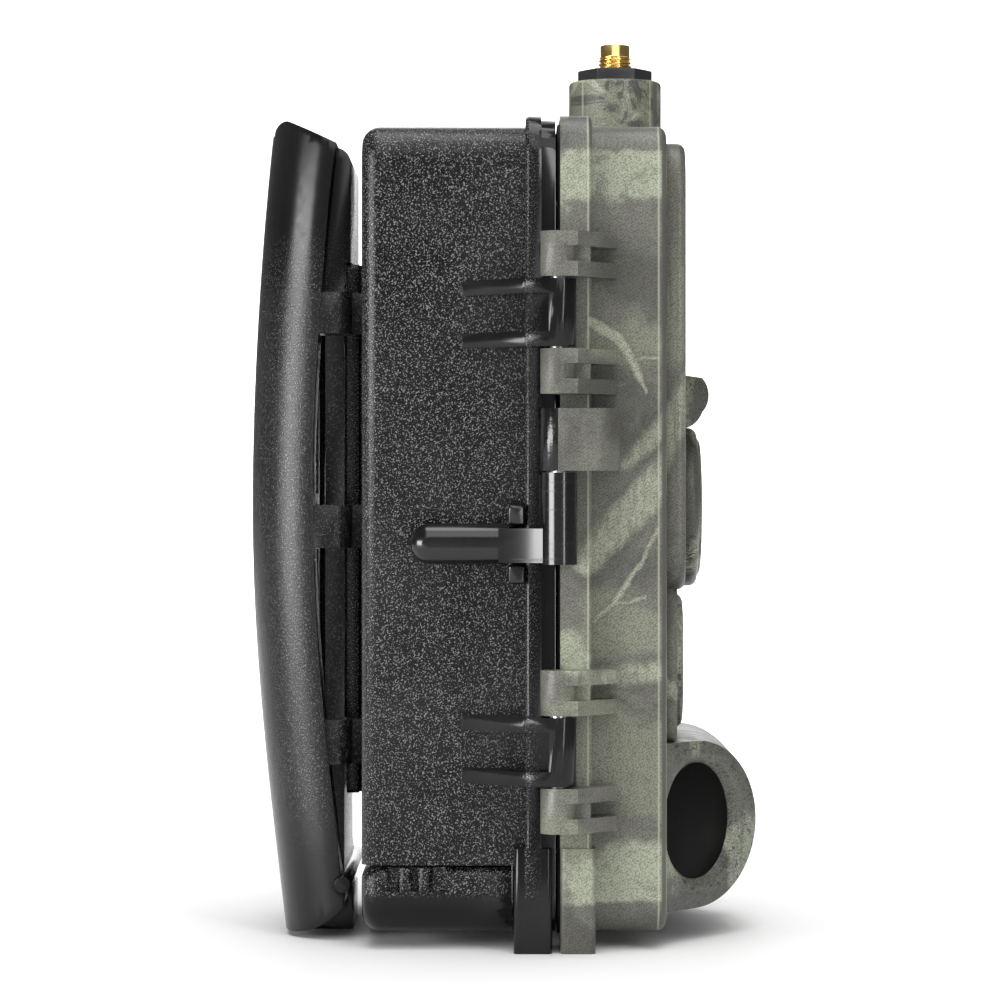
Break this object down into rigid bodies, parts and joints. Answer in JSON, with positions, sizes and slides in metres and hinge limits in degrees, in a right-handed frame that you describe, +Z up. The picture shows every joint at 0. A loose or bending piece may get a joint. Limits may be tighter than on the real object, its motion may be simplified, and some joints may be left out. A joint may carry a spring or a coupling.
{
  "type": "trail camera",
  "caption": "Weatherproof trail camera: black rear housing, hinged camouflage front door with lens, lamp window and faceted motion sensor, threaded antenna jack, and a removable tree bracket.",
  "frame": {"origin": "centre of the bounding box's base, on the plane the feet stand on", "axes": "+Z up, along the antenna boss; +X the way the lens looks; the door hinge is on the -Y side"},
  "size_m": [0.093, 0.117, 0.1656],
  "materials": {
    "black_shell": "fine spark-eroded grain, satin",
    "bracket_plastic": "fine grain, slightly glossier than the shell",
    "smooth_black": "smooth moulded, soft gloss",
    "camouflage": "water-transfer bark and branch print under a matt coat",
    "seal_rubber": "soft moulded seal",
    "pin_steel": "turned",
    "screw_steel": "zinc plated",
    "gold_plate": "bright gold plate",
    "insert_brass": "turned brass",
    "nut_black": "black plated",
    "dark_window": "infrared-passing dark plastic",
    "clear_glass": "coated glass",
    "lens_black": "black anodised",
    "lamp_clear": "clear epoxy",
    "circuit_board": "green solder mask",
    "sensor_can": "drawn can",
    "panel_black": "fine texture",
    "key_grey": "soft-touch",
    "screen": "polished",
    "bright_metal": "nickel plated",
    "card_blue": "smooth",
    "cell_wrap": "plain printed wrap"
  },
  "bodies": {
    "housing": {"rear_shell": "black_shell", "base_cover_pin": "pin_steel", "dc_jack": "panel_black", "lever_clip": "smooth_black", "bracket_pad": "black_shell", "pad_screws": "screw_steel", "battery_tray": "panel_black", "battery_cells": "cell_wrap", "battery_contacts": "bright_metal", "contact_pins": "gold_plate", "contact_block": "panel_black", "hinge_pins": "pin_steel", "latch_mounts": "black_shell", "latch_pins": "pin_steel"},
    "door": {"antenna_jack": "gold_plate", "antenna_nut": "nut_black", "card_slot": "bright_metal", "contact_pads": "gold_plate", "display": "screen", "door_gasket": "seal_rubber", "face_plate": "camouflage", "front_shell": "camouflage", "indicator_lights": "lamp_clear", "indicator_pad": "camouflage", "inner_panel": "panel_black", "ir_leds": "lamp_clear", "led_board": "circuit_board", "led_window": "dark_window", "lens_barrel": "lens_black", "lens_bezel": "camouflage", "lens_element": "clear_glass", "lens_window": "clear_glass", "lever_pin": "pin_steel", "main_board": "circuit_board", "panel_screws": "screw_steel", "pir_board": "circuit_board", "pir_housing": "camouflage", "pir_sensors": "sensor_can", "pir_window_front": "dark_window", "pir_window_left": "dark_window", "pir_window_right": "dark_window", "radio_board": "circuit_board", "sensor_board": "circuit_board", "usb_port": "bright_metal"},
    "base_cover": {"base_cover": "black_shell"},
    "lock_lever": {"lock_lever": "smooth_black"},
    "latch_upper": {"latch_upper": "smooth_black"},
    "latch_lower": {"latch_lower": "smooth_black"},
    "bracket": {"tree_bracket": "bracket_plastic", "bracket_foot": "bracket_plastic", "tripod_insert": "insert_brass", "bracket_pin": "bracket_plastic"},
    "power_switch": {"power_switch": "key_grey"},
    "memory_card": {"memory_card": "card_blue"},
    "key_ok": {"key_ok": "key_grey"},
    "key_up": {"key_up": "key_grey"},
    "key_down": {"key_down": "key_grey"},
    "key_left": {"key_left": "key_grey"},
    "key_right": {"key_right": "key_grey"},
    "key_menu": {"key_menu": "key_grey"}
  },
  "joints": [
    {"name": "door_hinge", "type": "hinge", "parent": "housing", "child": "door", "pos_m": [0.00933, -0.05535, 0.08], "axis": [0, 0, -1], "range_deg": [0, 100]},
    {"name": "lever_swing", "type": "hinge", "parent": "housing", "child": "lock_lever", "pos_m": [0.00933, -0.05535, 0.076], "axis": [0, 0, 1], "range_deg": [0, 70]},
    {"name": "latch_upper_swing", "type": "hinge", "parent": "housing", "child": "latch_upper", "pos_m": [-0.00267, 0.0557, 0.1126], "axis": [0, 0, 1], "range_deg": [0, 110]},
    {"name": "latch_lower_swing", "type": "hinge", "parent": "housing", "child": "latch_lower", "pos_m": [-0.00267, 0.0557, 0.0358], "axis": [0, 0, 1], "range_deg": [0, 110]},
    {"name": "base_cover_swing", "type": "hinge", "parent": "housing", "child": "base_cover", "pos_m": [-0.01217, 0.0436, 0.0122], "axis": [1, 0, 0], "range_deg": [0, 80]},
    {"name": "bracket_slide", "type": "slide", "parent": "housing", "child": "bracket", "axis": [0, 0, 1], "range_m": [0, 0.012]},
    {"name": "power_switch_slide", "type": "slide", "parent": "door", "child": "power_switch", "axis": [0, 1, 0], "range_m": [0, 0.006]},
    {"name": "memory_card_eject", "type": "slide", "parent": "door", "child": "memory_card", "axis": [0, 0, -1], "range_m": [0, 0.0035]},
    {"name": "key_ok_press", "type": "slide", "parent": "door", "child": "key_ok", "axis": [1, 0, 0], "range_m": [0, 0.0006], "stiffness_N_per_m": 120, "springref_m": -0.0001},
    {"name": "key_up_press", "type": "slide", "parent": "door", "child": "key_up", "axis": [1, 0, 0], "range_m": [0, 0.0006], "stiffness_N_per_m": 120, "springref_m": -0.0001},
    {"name": "key_down_press", "type": "slide", "parent": "door", "child": "key_down", "axis": [1, 0, 0], "range_m": [0, 0.0006], "stiffness_N_per_m": 120, "springref_m": -0.0001},
    {"name": "key_left_press", "type": "slide", "parent": "door", "child": "key_left", "axis": [1, 0, 0], "range_m": [0, 0.0006], "stiffness_N_per_m": 120, "springref_m": -0.0001},
    {"name": "key_right_press", "type": "slide", "parent": "door", "child": "key_right", "axis": [1, 0, 0], "range_m": [0, 0.0006], "stiffness_N_per_m": 120, "springref_m": -0.0001},
    {"name": "key_menu_press", "type": "slide", "parent": "door", "child": "key_menu", "axis": [1, 0, 0], "range_m": [0, 0.0006], "stiffness_N_per_m": 120, "springref_m": -0.0001}
  ]
}
